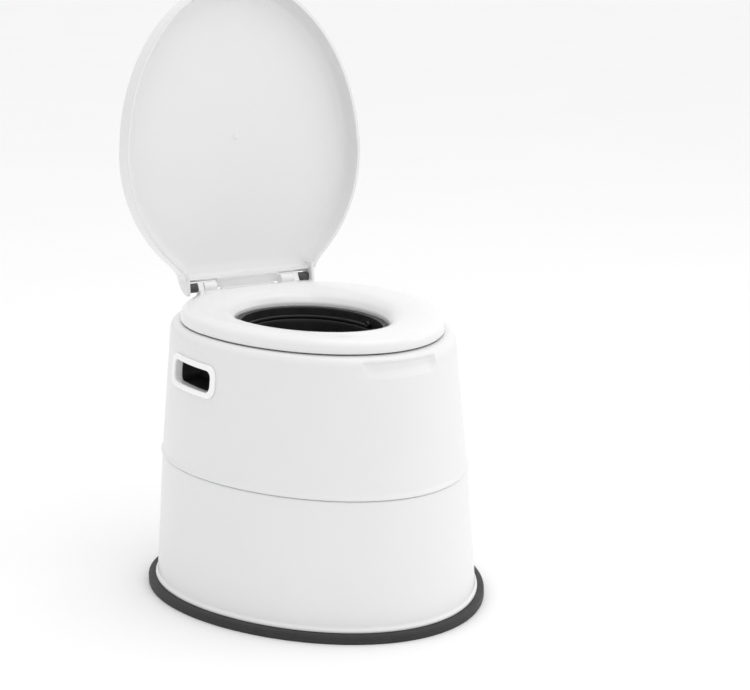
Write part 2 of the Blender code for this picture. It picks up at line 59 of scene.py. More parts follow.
# Body, as in the CAD model
BASE_HALF_WIDTH = 182.5
BASE_RING_HEIGHT = 10.0
RING_INNER_HALF_WIDTH = 162.5
FOOT_HALF_WIDTH = 172.4
SEAM_Z = 151.5
SEAM_HALF_WIDTH = 161.6
SHOULDER_Z = 290.0
SHOULDER_HALF_WIDTH = 148.0
DECK_Z = 301.0
WALL = 3.0
LENGTH_EXTRA_AT_BASE = 30.0
LENGTH_EXTRA_AT_SHOULDER = 43.0
CENTRE_SHIFT_AT_SHOULDER = 8.5
BACK_WIDENING = 0.105
BODY_POINTS = 168
SPIGOT_TOP_Z = 160.4
GAP = 0.3

# Hole for the bucket
HOLE_HALF_WIDTH = 80.5
HOLE_HALF_LENGTH = 102.8
HOLE_CENTRE_Y = 18.6
HOLE_WIDENING = 0.04
RECESS_INSET = -5.5
LEDGE_INSET = 3.8
LEDGE_TOP_Z = 295.7
LEDGE_THICKNESS = 3.0

# Plan outlines of lid and seat, each an oval with a narrow neck at the hinge:
# half width, front length, back length, widening towards the back, half width of the neck
LID_PLAN = (149.6, 190.0, 166.0, 0.04, 81.0)
SEAT_PLAN = (138.2, 181.0, 157.5, 0.08, 72.5)
PLAN_CENTRE_Y = 18.0
LID_MIDDLE_Y = 12.0
NECK_BLEND = 14.0
LID_REAR_Y = 171.6
SEAT_REAR_Y = 169.0
SIDE_POINTS = 72
CORNER_POINTS = 8
REAR_POINTS = 16

# Hinge line
HINGE_Y = 178.0
HINGE_Z = 318.5
LID_OPEN_ANGLE = 94.0
LID_RIM_BELOW_HINGE = 12.0
REAR_LIP_HEIGHT = 14.0
LID_DEPTH = 28.2
GATE_MARK_Y = 8.0
GATE_MARK_RADIUS = 3.2
LID_EAR_X = (79.3, 83.0)
LID_EAR_CORNER = (HINGE_Y - 18.0, HINGE_Z - 11.5)
LID_EAR_RADII = (26.0, 27.0)
LID_EAR_BACK_Y = HINGE_Y + 5.0
LID_EAR_BORE_END_X = 81.7
BUSH_RADIUS = 5.5
BUSH_X = (66.2, 78.9)
SEAT_EAR_X = (58.5, 65.8)
KNUCKLE_RADIUS = 6.1
PIN_HOLE_RADIUS = 3.4
SEAT_TOP_UNDER_EARS_Z = 316.2
SEAT_EAR_BOTTOM_Z = 306.9
SEAT_EAR_FRONT_Y = HINGE_Y - 14.0
POST_X = (42.0, 58.1)
POST_RADIUS = 6.2
POST_FRONT_Y = 170.0
TONGUE_HALF_WIDTH = 36.0
FLAP_HALF_WIDTH = 40.5
BOLT_Y = 174.8
ARC_STEPS = 24

# Hand holes
HANDLE_Y = 18.0
HANDLE_Z = 257.2
HANDLE_HALF_SIZE = (40.0, 11.8)
HANDLE_CORNER = 8.0
BEZEL_HALF_SIZE = (48.0, 18.5)
BEZEL_CORNER = 13.0
SLEEVE_WALL = 1.5
SLEEVE_DEPTH = 7.0
WALL_OPENING_CLEARANCE = 0.8
CUP_DEPTH = 32.0

# Bucket and bail
FLANGE_TOP_Z = 299.0
BUCKET_BOTTOM_Z = 45.0
BUCKET_LEDGE_Z = 286.0
BAIL_Z = 290.5
BAIL_OUTER_INSET = 7.8
BAIL_INNER_INSET = 11.6
BAIL_EYE_RADIUS = 3.6
BAIL_PIN_RADIUS = 1.6

SIDES = (("left", -1.0), ("right", 1.0))


# ---------------------------------------------------------------- materials

class Nodes:
    """A material under construction, with short calls for the nodes used here."""

    def __init__(self, name, colour, roughness, metallic=0.0):
        self.material = bpy.data.materials.new(name)
        self.material.use_nodes = True
        self.tree = self.material.node_tree
        self.shader = self.tree.nodes["Principled BSDF"]
        self.shader.inputs["Base Color"].default_value = (*colour, 1.0)
        self.shader.inputs["Roughness"].default_value = roughness
        self.shader.inputs["Metallic"].default_value = metallic
        coordinates = self.tree.nodes.new("ShaderNodeTexCoord")
        self.place = coordinates.outputs["Object"]

    def link(self, output, socket):
        self.tree.links.new(output, socket)

    def stretched(self, scale):
        """Object coordinates scaled along each axis, for a pattern with a direction."""
        mapping = self.tree.nodes.new("ShaderNodeMapping")
        mapping.inputs["Scale"].default_value = scale
        self.link(self.place, mapping.inputs["Vector"])
        return mapping.outputs["Vector"]

    def noise(self, size_mm, detail=3.0, place=None):
        """Noise whose features are about size_mm across."""
        node = self.tree.nodes.new("ShaderNodeTexNoise")
        node.inputs["Scale"].default_value = 1.0 / (size_mm * MM)
        node.inputs["Detail"].default_value = detail
        self.link(place or self.place, node.inputs["Vector"])
        return node.outputs["Fac"]

    def spread(self, value, from_low, from_high, to_low, to_high):
        """The value stretched from one range to another."""
        node = self.tree.nodes.new("ShaderNodeMapRange")
        for socket, number in (("From Min", from_low), ("From Max", from_high),
                               ("To Min", to_low), ("To Max", to_high)):
            node.inputs[socket].default_value = number
        self.link(value, node.inputs["Value"])
        return node.outputs["Result"]

    def ramp(self, value, stops):
        node = self.tree.nodes.new("ShaderNodeValToRGB")
        elements = node.color_ramp.elements
        for index, (position, colour) in enumerate(stops):
            stop = elements[index] if index < 2 else elements.new(position)
            stop.position = position
            stop.color = (*colour, 1.0)
        self.link(value, node.inputs["Fac"])
        return node.outputs["Color"]

    def bump(self, height, strength, depth_mm, after=None):
        node = self.tree.nodes.new("ShaderNodeBump")
        node.inputs["Strength"].default_value = strength
        node.inputs["Distance"].default_value = depth_mm * MM
        self.link(height, node.inputs["Height"])
        if after is not None:
            self.link(after, node.inputs["Normal"])
        return node.outputs["Normal"]


def shade(colour, factor):
    """The colour made darker or lighter."""
    return tuple(channel * factor for channel in colour)


def moulded_plastic(name, colour, roughness, coat, grain_mm=1.6, grain_depth=0.012):
    """Glossy injection-moulded plastic: slow mottling, uneven gloss and a faint orange peel."""
    nodes = Nodes(name, colour, roughness)
    mottling = nodes.noise(95.0, 2.0)
    nodes.link(nodes.ramp(mottling, ((0.25, shade(colour, 0.985)), (0.75, colour))),
               nodes.shader.inputs["Base Color"])
    handling = nodes.noise(34.0, 3.0)
    nodes.link(nodes.spread(handling, 0.0, 1.0, roughness * 0.8, roughness * 1.2),
               nodes.shader.inputs["Roughness"])
    peel = nodes.bump(nodes.noise(grain_mm, 2.0), 0.35, grain_depth)
    sink = nodes.bump(nodes.noise(60.0, 0.0), 0.3, 0.04, after=peel)
    nodes.link(sink, nodes.shader.inputs["Normal"])
    nodes.shader.inputs["Coat Weight"].default_value = coat
    nodes.shader.inputs["Coat Roughness"].default_value = 0.12
    return nodes.material


def textured_black(name, colour, roughness, grain_mm, grain_depth):
    """Black plastic or rubber with a fine grain and a little dust in it."""
    nodes = Nodes(name, colour, roughness)
    dust = nodes.noise(14.0, 7.0)
    nodes.link(nodes.ramp(dust, ((0.35, colour), (0.8, shade(colour, 1.9)))),
               nodes.shader.inputs["Base Color"])
    nodes.link(nodes.spread(dust, 0.3, 0.7, roughness * 0.9, min(1.0, roughness * 1.15)),
               nodes.shader.inputs["Roughness"])
    nodes.link(nodes.bump(nodes.noise(grain_mm, 4.0), 0.5, grain_depth), nodes.shader.inputs["Normal"])
    return nodes.material


def drawn_steel(name):
    """Bright drawn wire, with its draw lines along X."""
    colour = (0.62, 0.62, 0.61)
    nodes = Nodes(name, colour, 0.28, metallic=1.0)
    lines = nodes.noise(0.5, 3.0, place=nodes.stretched((0.04, 1.0, 1.0)))
    nodes.link(nodes.spread(lines, 0.3, 0.7, 0.15, 0.26), nodes.shader.inputs["Roughness"])
    nodes.link(nodes.ramp(lines, ((0.3, shade(colour, 0.85)), (0.7, colour))),
               nodes.shader.inputs["Base Color"])
    nodes.link(nodes.bump(lines, 0.25, 0.02), nodes.shader.inputs["Normal"])
    return nodes.material


# ---------------------------------------------------------------- mesh helpers

def make_object(name, points, faces, material, sharp_degrees=38.0):
    mesh = bpy.data.meshes.new(name)
    mesh.from_pydata([Vector(point) * MM for point in points], [], faces)
    tidy = bmesh.new()
    tidy.from_mesh(mesh)
    bmesh.ops.recalc_face_normals(tidy, faces=tidy.faces)
    tidy.to_mesh(mesh)
    tidy.free()
    mesh.materials.append(material)
    mesh.shade_smooth()
    mesh.set_sharp_from_angle(angle=math.radians(sharp_degrees))
    made = bpy.data.objects.new(name, mesh)
    bpy.context.scene.collection.objects.link(made)
    return made


def loft(name, loops, material, closed=True):
    """Join loops of equal length: a closed loft runs back to its first loop, an open one is
    closed at its two ends by a fan or, where the end loop is a single point, by a cone."""
    points = []
    starts = []
    for loop in loops:
        starts.append(len(points))
        points.extend(loop)
    pairs = list(zip(range(len(loops)), range(1, len(loops))))
    if closed:
        pairs.append((len(loops) - 1, 0))
    faces = []
    for first, second in pairs:
        count = max(len(loops[first]), len(loops[second]))
        for step in range(count):
            after = (step + 1) % count
            if len(loops[first]) == 1:
                faces.append((starts[first], starts[second] + step, starts[second] + after))
            elif len(loops[second]) == 1:
                faces.append((starts[first] + step, starts[first] + after, starts[second]))
            else:
                faces.append((starts[first] + step, starts[first] + after,
                              starts[second] + after, starts[second] + step))
    if not closed:
        for end in (0, len(loops) - 1):
            if len(loops[end]) > 1:
                faces.append([starts[end] + step for step in range(len(loops[end]))])
    return make_object(name, points, faces, material)


def filleted(profile, closed=True, steps=5):
    """Round each corner (u, z, radius) of a profile, with a point just before and after each
    long straight run so that it stays flat in the shading."""
    count = len(profile)
    rounded = []
    for index, (u, z, radius) in enumerate(profile):
        here = Vector((u, z))
        if radius == 0.0 or (not closed and index in (0, count - 1)):
            rounded.append([here])
            continue
        before = Vector(profile[index - 1][:2]) - here
        after = Vector(profile[(index + 1) % count][:2]) - here
        reach = min(radius, 0.48 * before.length, 0.48 * after.length)
        start = here + before.normalized() * reach
        end = here + after.normalized() * reach
        arc = []
        for step in range(steps + 1):
            share = step / steps
            arc.append(start.lerp(here, share).lerp(here.lerp(end, share), share))
        rounded.append(arc)
    result = []
    for index, arc in enumerate(rounded):
        result.extend(arc)
        if index == count - 1 and not closed:
            continue
        following = rounded[(index + 1) % count][0]
        run = following - arc[-1]
        if run.length > 6.0:
            result.append(arc[-1] + run * (0.8 / run.length))
            result.append(following - run * (0.8 / run.length))
    return [tuple(point) for point in result]


def smooth_profile(profile, steps=4):
    """A curve through the profile's points, by Catmull-Rom."""
    result = []
    for index in range(len(profile) - 1):
        a = Vector(profile[max(index - 1, 0)])
        b = Vector(profile[index])
        c = Vector(profile[index + 1])
        d = Vector(profile[min(index + 2, len(profile) - 1)])
        for step in range(steps):
            t = step / steps
            result.append(tuple(0.5 * (2.0 * b + (c - a) * t + (2.0 * a - 5.0 * b + 4.0 * c - d) * t * t
                                       + (3.0 * b - a - 3.0 * c + d) * t * t * t)))
    result.append(profile[-1])
    return result


def cylinder(name, start, end, radius, material, sides=48, chamfer=0.0):
    """A round bar between two points, with its edges softened."""
    start, end = Vector(start), Vector(end)
    along = (end - start).normalized()
    turn = along.to_track_quat("Z", "Y").to_matrix()
    length = (end - start).length
    stations = [(0.0, radius), (length, radius)]
    if chamfer:
        bulge = 0.3 * chamfer
        stations = [(0.0, radius - chamfer), (bulge, radius - bulge), (chamfer, radius),
                    (length - chamfer, radius), (length - bulge, radius - bulge),
                    (length, radius - chamfer)]
    loops = []
    for distance, size in stations:
        loop = []
        for step in range(sides):
            angle = math.tau * (step + 0.5) / sides
            loop.append(start + along * distance
                        + turn @ Vector((size * math.cos(angle), size * math.sin(angle), 0.0)))
        loops.append(loop)
    return loft(name, loops, material, closed=False)


def plate(name, outline, x_range, material):
    """A flat plate: an outline of (y, z) points given thickness along X."""
    loops = [[(x, y, z) for y, z in outline] for x in x_range]
    return loft(name, loops, material, closed=False)


def arc(centre, radii, from_degrees, to_degrees):
    """Points (y, z) along a round or elliptic arc."""
    points = []
    for step in range(ARC_STEPS + 1):
        angle = math.radians(blend(from_degrees, to_degrees, step / ARC_STEPS))
        points.append((centre[0] + radii[0] * math.cos(angle), centre[1] + radii[1] * math.sin(angle)))
    return points


def box(name, low, high, material):
    outline = [(low[1], low[2]), (high[1], low[2]), (high[1], high[2]), (low[1], high[2])]
    return plate(name, outline, (low[0], high[0]), material)


def apply_modifier(target, modifier):
    bpy.context.view_layer.update()
    graph = bpy.context.evaluated_depsgraph_get()
    result = bpy.data.meshes.new_from_object(target.evaluated_get(graph))
    target.modifiers.remove(modifier)
    old = target.data
    target.data = result
    bpy.data.meshes.remove(old)


def cut(target, tool):
    change = target.modifiers.new("cut", "BOOLEAN")
    change.operation = "DIFFERENCE"
    change.solver = "EXACT"
    change.object = tool
    apply_modifier(target, change)
    bpy.data.objects.remove(tool, do_unlink=True)


def soften(target, width_mm, segments=3):
    """Round the sharp edges of a plate or box."""
    change = target.modifiers.new("soften", "BEVEL")
    change.width = width_mm * MM
    change.segments = segments
    change.limit_method = "ANGLE"
    change.angle_limit = math.radians(40.0)
    apply_modifier(target, change)
    target.data.shade_smooth()
    target.data.set_sharp_from_angle(angle=math.radians(50.0))


def gather(name, pieces):
    """Make one object of several pieces that belong together."""
    merged = bmesh.new()
    material = pieces[0].data.materials[0]
    for piece in pieces:
        merged.from_mesh(piece.data)
        bpy.data.objects.remove(piece, do_unlink=True)
    mesh = bpy.data.meshes.new(name)
    merged.to_mesh(mesh)
    merged.free()
    mesh.materials.append(material)
    made = bpy.data.objects.new(name, mesh)
    bpy.context.scene.collection.objects.link(made)
    return made


def finish_piece(piece, body, slot, *nodes):
    """Attach the piece to the body it moves with and hide the CAD nodes it replaces. The slot argument is
    not used.
    """
    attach(piece, body)
    if nodes:
        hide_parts(*nodes)


# ---------------------------------------------------------------- outlines, as in the CAD model

def blend(low, high, share):
    return low + (high - low) * share


def smooth_step(value):
    value = min(max(value, 0.0), 1.0)
    return value * value * (3.0 - 2.0 * value)


def body_point(half_width, z, angle):
    """A point on the body's plan oval, which is wider at the back than at the front."""
    height = z / SHOULDER_Z
    half_length = half_width + blend(LENGTH_EXTRA_AT_BASE, LENGTH_EXTRA_AT_SHOULDER, height)
    across = math.cos(angle) * (1.0 + BACK_WIDENING * math.sin(angle))
    along = math.sin(angle)
    return Vector((half_width * across, CENTRE_SHIFT_AT_SHOULDER * height + half_length * along, z))


def body_oval(half_width, z):
    return [body_point(half_width, z, math.tau * step / BODY_POINTS) for step in range(BODY_POINTS)]


def wall_half_width(z):
    """Outer half width of the body wall at height z."""
    if z < SEAM_Z:
        share = (z - BASE_RING_HEIGHT) / (SEAM_Z - BASE_RING_HEIGHT)
        return blend(FOOT_HALF_WIDTH, SEAM_HALF_WIDTH, share)
    return blend(SEAM_HALF_WIDTH, SHOULDER_HALF_WIDTH, (z - SEAM_Z) / (SHOULDER_Z - SEAM_Z))


def wall_point(side, y, z, outwards):
    """A point on the body's side wall, moved out of (or into) the wall."""
    def surface(at_y, at_z):
        half_width = wall_half_width(at_z)
        angle = 0.0
        for _ in range(6):
            here = body_point(half_width, at_z, angle)
            angle += (at_y - here.y) / half_width
        here = body_point(half_width, at_z, angle)
        return Vector((side * here.x, at_y, at_z))

    centre = surface(y, z)
    normal = (surface(y + 1.0, z) - centre).cross(surface(y, z + 1.0) - centre).normalized()
    if normal.x * side < 0.0:
        normal.negate()
    return centre + normal * outwards


def hole_point(inset, z, angle):
    """A point on the oval of the bucket hole, made smaller by the inset."""
    x = (HOLE_HALF_WIDTH - inset) * math.cos(angle) * (1.0 + HOLE_WIDENING * math.sin(angle))
    y = HOLE_CENTRE_Y + (HOLE_HALF_LENGTH - inset) * math.sin(angle)
    return Vector((x, y, z))


def hole_oval(inset, z):
    return [hole_point(inset, z, math.tau * step / BODY_POINTS) for step in range(BODY_POINTS)]


def plan_half_width(plan, y, inset):
    """Half width of a plan outline at y: an oval, no narrower than the neck."""
    oval_half_width, front_length, back_length, widening, neck = plan
    length = front_length if y < PLAN_CENTRE_Y else back_length
    along = (y - PLAN_CENTRE_Y) / (length - inset)
    along = min(max(along, -1.0), 1.0)
    oval = (oval_half_width - inset) * math.sqrt(1.0 - along * along) * (1.0 + widening * along)
    if y < PLAN_CENTRE_Y:
        return oval
    neck -= inset
    return 0.5 * (oval + neck + math.sqrt((oval - neck) ** 2 + NECK_BLEND ** 2))


def plan_outline(plan, inset, rear_y, corner=7.0):
    """Plan outline from the front tip round by +X, with rounded rear corners, and how near the
    rear edge each point is (0 on the sides, 1 on the straight rear edge)."""
    tip_y = PLAN_CENTRE_Y - plan[1] + inset
    side = []
    for step in range(1, SIDE_POINTS + 1):
        y = blend(tip_y, rear_y - corner, 0.5 - 0.5 * math.cos(math.pi * step / SIDE_POINTS))
        side.append((plan_half_width(plan, y, inset), y))
    last = Vector(side[-1])
    corner_x = plan_half_width(plan, rear_y, inset)
    turn = Vector((corner_x, rear_y))
    end = Vector((corner_x - corner, rear_y))
    outline = [((0.0, tip_y), 0.0)]
    outline += [(point, 0.0) for point in side]
    for step in range(1, CORNER_POINTS + 1):
        share = step / CORNER_POINTS
        point = last.lerp(turn, share).lerp(turn.lerp(end, share), share)
        outline.append((tuple(point), smooth_step(share)))
    for step in range(1, REAR_POINTS):
        outline.append(((blend(end.x, -end.x, step / REAR_POINTS), rear_y), 1.0))
    for (x, y), rear in reversed(outline[1:SIDE_POINTS + CORNER_POINTS + 1]):
        outline.append(((-x, y), rear))
    return outline


def rounded_rectangle(half_size, corner, corner_steps=9, long_steps=22, short_steps=4):
    """Outline of (y, z) offsets from the middle of a rounded rectangle, evenly divided."""
    straight_y = half_size[0] - corner
    straight_z = half_size[1] - corner
    outline = []
    for quarter, (sign_y, sign_z) in enumerate(((1, 1), (-1, 1), (-1, -1), (1, -1))):
        for step in range(corner_steps + 1):
            angle = math.pi / 2.0 * (quarter + step / corner_steps)
            outline.append((sign_y * straight_y + corner * math.cos(angle),
                            sign_z * straight_z + corner * math.sin(angle)))
        steps = long_steps if quarter in (0, 2) else short_steps
        for step in range(1, steps):
            share = 1.0 - 2.0 * step / steps
            if quarter in (0, 2):
                outline.append((sign_y * straight_y * share, sign_z * half_size[1]))
            else:
                outline.append((sign_y * half_size[0], sign_z * straight_z * share))
    return outline


# ---------------------------------------------------------------- body

def finger_scoop(loop):
    """Press the middle of the front shoulder in, as a place for fingertips: a ramp that faces
    upwards, with a lip above it."""
    pressed = []
    for point in loop:
        across = smooth_step((42.0 - abs(point.x)) / 4.0)
        ramp = min(max((point.z - 280.0) / 8.5, 0.0), 1.0)
        lip = smooth_step((299.0 - point.z) / 5.0)
        push = 5.2 * across * ramp * lip if point.y < 0.0 else 0.0
        pressed.append(point + Vector((0.0, push, 0.0)))
    return pressed


def build_base_ring(material):
    edge = BASE_HALF_WIDTH
    top = BASE_RING_HEIGHT
    profile = ((edge - 0.7, 0.0, 0.5), (edge, 1.0, 0.6), (edge, 4.6, 0.2), (edge - 0.35, 4.9, 0.2),
               (edge, 5.2, 0.2), (edge, 9.0, 2.2), (edge - 2.2, top, 1.5),
               (RING_INNER_HALF_WIDTH, top, 0.5), (RING_INNER_HALF_WIDTH, 0.0, 0.5))
    ring = loft("base_ring_soft", [body_oval(u, z) for u, z in filleted(profile)], material)
    finish_piece(ring, "lower_body", "black_rubber", "base_ring")


def build_lower_shell(material):
    bottom = BASE_RING_HEIGHT + GAP
    top = SEAM_Z - 0.6
    spigot = SEAM_HALF_WIDTH - WALL - 1.2
    foot = BASE_HALF_WIDTH - 8.0
    profile = ((foot, bottom, 0.4), (foot, 12.4, 0.9), (wall_half_width(15.2) + 0.1, 15.2, 1.4),
               (wall_half_width(24.0), 24.0, 0.0), (wall_half_width(149.9), 149.9, 0.5),
               (SEAM_HALF_WIDTH - 0.6, top, 0.5), (spigot, top, 0.2),
               (spigot - 0.4, SPIGOT_TOP_Z - 0.9, 0.4), (spigot - 1.1, SPIGOT_TOP_Z, 0.4),
               (spigot - 2.5, SPIGOT_TOP_Z, 0.4), (spigot - 2.5, 149.0, 2.0),
               (wall_half_width(144.0) - WALL, 144.0, 2.0), (wall_half_width(22.0) - WALL, 22.0, 4.0),
               (foot - 5.0, bottom + WALL, 1.5), (foot - 11.0, bottom + WALL, 0.4),
               (foot - 11.0, bottom, 0.4))
    shell = loft("lower_shell_moulded", [body_oval(u, z) for u, z in filleted(profile)], material)
    finish_piece(shell, "lower_body", "body_white", "lower_shell")


def build_upper_shell(material):
    bottom = SEAM_Z + 0.4
    shoulder = SHOULDER_HALF_WIDTH
    seam = SEAM_HALF_WIDTH
    outer = ((seam + 0.7, bottom, 0.4), (seam + 1.5, 152.8, 0.6), (seam + 1.4, 154.4, 1.0),
             (wall_half_width(157.4), 157.4, 1.4), (wall_half_width(270.0), 270.0, 0.0),
             (wall_half_width(279.6), 279.6, 0.0), (wall_half_width(280.4), 280.4, 0.0),
             (wall_half_width(284.0), 284.0, 0.0), (wall_half_width(288.1), 288.1, 0.0),
             (wall_half_width(288.9), 288.9, 0.0), (shoulder, SHOULDER_Z, 0.0),
             (shoulder - 0.35, 292.5, 0.0), (shoulder - 1.15, 295.0, 0.0), (shoulder - 2.5, 297.3, 0.0),
             (shoulder - 4.2, 299.1, 0.0), (shoulder - 6.4, 300.4, 0.0), (shoulder - 8.8, 300.95, 0.0),
             (shoulder - 10.4, DECK_Z, 0.0))
    hole_edge = ((RECESS_INSET, DECK_Z, 0.8), (RECESS_INSET, LEDGE_TOP_Z, 0.8),
                 (LEDGE_INSET, LEDGE_TOP_Z, 0.6), (LEDGE_INSET, LEDGE_TOP_Z - LEDGE_THICKNESS, 0.4),
                 (RECESS_INSET + 2.5, LEDGE_TOP_Z - LEDGE_THICKNESS, 1.0),
                 (RECESS_INSET - WALL, DECK_Z - WALL, 1.0))
    inner = ((shoulder - 8.0, DECK_Z - WALL, 0.0), (shoulder - 5.3, 296.2, 0.0),
             (shoulder - 3.8, 292.0, 0.0), (wall_half_width(283.0) - WALL, 283.0, 0.0),
             (wall_half_width(222.0) - WALL, 222.0, 0.0), (seam - WALL, bottom, 0.3))
    loops = [finger_scoop(body_oval(u, z)) for u, z in filleted(outer, closed=False)]
    loops += [hole_oval(inset, z) for inset, z in filleted(hole_edge, closed=False)]
    loops += [finger_scoop(body_oval(u, z)) for u, z in filleted(inner, closed=False)]
    shell = loft("upper_shell_moulded", loops, material)
    opening = [half + SLEEVE_WALL + WALL_OPENING_CLEARANCE for half in HANDLE_HALF_SIZE]
    for _, side in SIDES:
        outline = rounded_rectangle(opening, HANDLE_CORNER + SLEEVE_WALL, 5, 2, 2)
        cut(shell, plate("cutter", [(HANDLE_Y + y, HANDLE_Z + z) for y, z in outline],
                         (side * 120.0, side * 180.0), material))
        bolt_x = side * sum(POST_X) / 2.0
        cut(shell, cylinder("cutter", (bolt_x, BOLT_Y, DECK_Z - 11.0), (bolt_x, BOLT_Y, DECK_Z + 4.0),
                            PIN_HOLE_RADIUS, material, 24))
    shell.data.set_sharp_from_angle(angle=math.radians(38.0))
    finish_piece(shell, "upper_body", "body_white", "upper_shell")


def handle_loop(side, half_size, corner, outwards):
    return [wall_point(side, HANDLE_Y + y, HANDLE_Z + z, outwards)
            for y, z in rounded_rectangle(half_size, corner)]


def build_handle(name, side, bright, black):
    """Raised frame round the hand hole, its sleeve, and the cup behind it."""
    wide, high = BEZEL_HALF_SIZE
    hole_wide, hole_high = HANDLE_HALF_SIZE
    depth = wide - hole_wide
    face = ((0.0, GAP, 0.0), (0.0, 1.3, 0.8), (1.2, 2.9, 1.0), (2.6, 3.2, 0.8), (depth - 2.4, 3.2, 1.0),
            (depth - 0.3, 2.0, 1.2), (depth, 0.8, 0.8), (depth, -SLEEVE_DEPTH, 0.4))
    loops = []
    for inset, outwards in filleted(face, closed=False, steps=6):
        share = inset / depth
        size = (blend(wide, hole_wide, share), blend(high, hole_high, share))
        corner = blend(BEZEL_CORNER, HANDLE_CORNER, share)
        loops.append(handle_loop(side, size, corner, outwards))
    sleeve = (hole_wide + SLEEVE_WALL, hole_high + SLEEVE_WALL)
    loops.append(handle_loop(side, sleeve, HANDLE_CORNER + SLEEVE_WALL, -SLEEVE_DEPTH))
    loops.append(handle_loop(side, sleeve, HANDLE_CORNER + SLEEVE_WALL, GAP))
    bezel = loft(f"handle_frame_{name}", loops, bright)
    finish_piece(bezel, "upper_body", "bezel_white", f"handle_bezel_{name}")

    front = -(WALL + 0.6)
    back_x = side * (wall_half_width(HANDLE_Z) - CUP_DEPTH)

    def back_loop(grow, corner, x):
        outline = rounded_rectangle((hole_wide + grow, hole_high + grow), corner)
        return [Vector((x, HANDLE_Y + y, HANDLE_Z + z)) for y, z in outline]

    outside = [back_loop(-1.5, 5.0, back_x), back_loop(1.0, 7.5, back_x + side * 0.6),
               back_loop(1.5, 8.0, back_x + side * 2.0),
               handle_loop(side, (hole_wide + 5.5, hole_high + 5.5), HANDLE_CORNER + 5.0, front)]
    inside = [handle_loop(side, (hole_wide + 3.0, hole_high + 3.0), HANDLE_CORNER + 2.5, front),
              back_loop(-0.4, 6.6, back_x + side * 4.6), back_loop(-1.4, 5.6, back_x + side * 2.7),
              back_loop(-4.0, 3.0, back_x + side * 2.2)]
    cup = loft(f"grip_pocket_{name}", outside + inside, black, closed=False)
    finish_piece(cup, "upper_body", "black_plastic", f"grip_cup_{name}")


# ---------------------------------------------------------------- seat, lid and hinges

def seat_loop(share, z):
    """A loop of the seat ring: share 0 is the edge of the opening, 1 the outer edge."""
    loop = []
    for (x, y), _ in plan_outline(SEAT_PLAN, 0.0, SEAT_REAR_Y, corner=9.0):
        angle = math.atan2((y - HOLE_CENTRE_Y) / HOLE_HALF_LENGTH, x / HOLE_HALF_WIDTH)
        loop.append(hole_point(0.0, z, angle).lerp(Vector((x, y, z)), share))
    return loop


def build_seat(material):
    top = smooth_profile(((1.0, 303.3), (1.0, 308.0), (0.985, 312.5), (0.93, 316.2), (0.82, 318.3),
                          (0.66, 318.8), (0.45, 317.6), (0.25, 314.7), (0.1, 310.2), (0.03, 305.8),
                          (0.0, 302.8), (0.0, 299.4)))
    under = ((0.006, 298.9), (0.02, 298.9), (0.03, 299.6), (0.07, 306.0), (0.3, 311.5), (0.66, 315.4),
             (0.9, 313.0), (0.95, 303.0), (0.97, 302.6), (0.99, 302.6))
    seat = loft("seat_shell", [seat_loop(share, z) for share, z in top + list(under)], material)
    tongue = box("tongue", (-TONGUE_HALF_WIDTH, HINGE_Y - 13.0, SEAT_EAR_BOTTOM_Z - 0.5),
                 (TONGUE_HALF_WIDTH, HINGE_Y + 3.0, SEAT_TOP_UNDER_EARS_Z), material)
    soften(tongue, 2.4, 4)
    pieces = [seat, tongue]
    for _, side in SIDES:
        near, far = sorted((side * SEAT_EAR_X[0], side * SEAT_EAR_X[1]))
        outline = [(SEAT_EAR_FRONT_Y, SEAT_EAR_BOTTOM_Z), (HINGE_Y - 3.0, SEAT_EAR_BOTTOM_Z)]
        outline += arc((HINGE_Y, HINGE_Z), (KNUCKLE_RADIUS, KNUCKLE_RADIUS), -50.4, 108.0)
        outline += [(HINGE_Y - KNUCKLE_RADIUS, SEAT_TOP_UNDER_EARS_Z),
                    (SEAT_EAR_FRONT_Y, SEAT_TOP_UNDER_EARS_Z)]
        ear = plate("ear", outline, (near, far), material)
        soften(ear, 0.6)
        cut(ear, cylinder("bore", (near - 2.0, HINGE_Y, HINGE_Z), (far + 2.0, HINGE_Y, HINGE_Z),
                          PIN_HOLE_RADIUS, material))
        pieces.append(ear)
    for number in range(1, 5):
        low, high = (Vector(corner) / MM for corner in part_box(f"seat_bumper_{number}"))
        centre = (low + high) / 2.0
        pieces.append(cylinder("boss", (centre.x, centre.y, high.z + 0.3), (centre.x, centre.y, 315.0), 7.0,
                               material, 32, chamfer=0.4))
    finish_piece(gather("seat_moulded", pieces), "seat", "seat_white", "seat_ring")


def lid_loop(inset, height):
    """A loop of the closed lid: height is measured up from its rim, and the rim is cut back
    along the rear edge to clear the hinges."""
    loop = []
    for (x, y), rear in plan_outline(LID_PLAN, inset, LID_REAR_Y - inset):
        weight = rear * max(0.0, 1.0 - inset / 12.0)
        lifted = REAR_LIP_HEIGHT + height * (1.0 - REAR_LIP_HEIGHT / LID_DEPTH)
        z = HINGE_Z - LID_RIM_BELOW_HINGE + blend(height, lifted, weight)
        loop.append(Vector((x, y, z)))
    return loop


def shrunken_loop(loop, share, z):
    """The loop drawn in towards the lid's middle and levelled."""
    middle = Vector((0.0, LID_MIDDLE_Y, z))
    return [middle + Vector((point.x, point.y - middle.y, 0.0)) * share for point in loop]


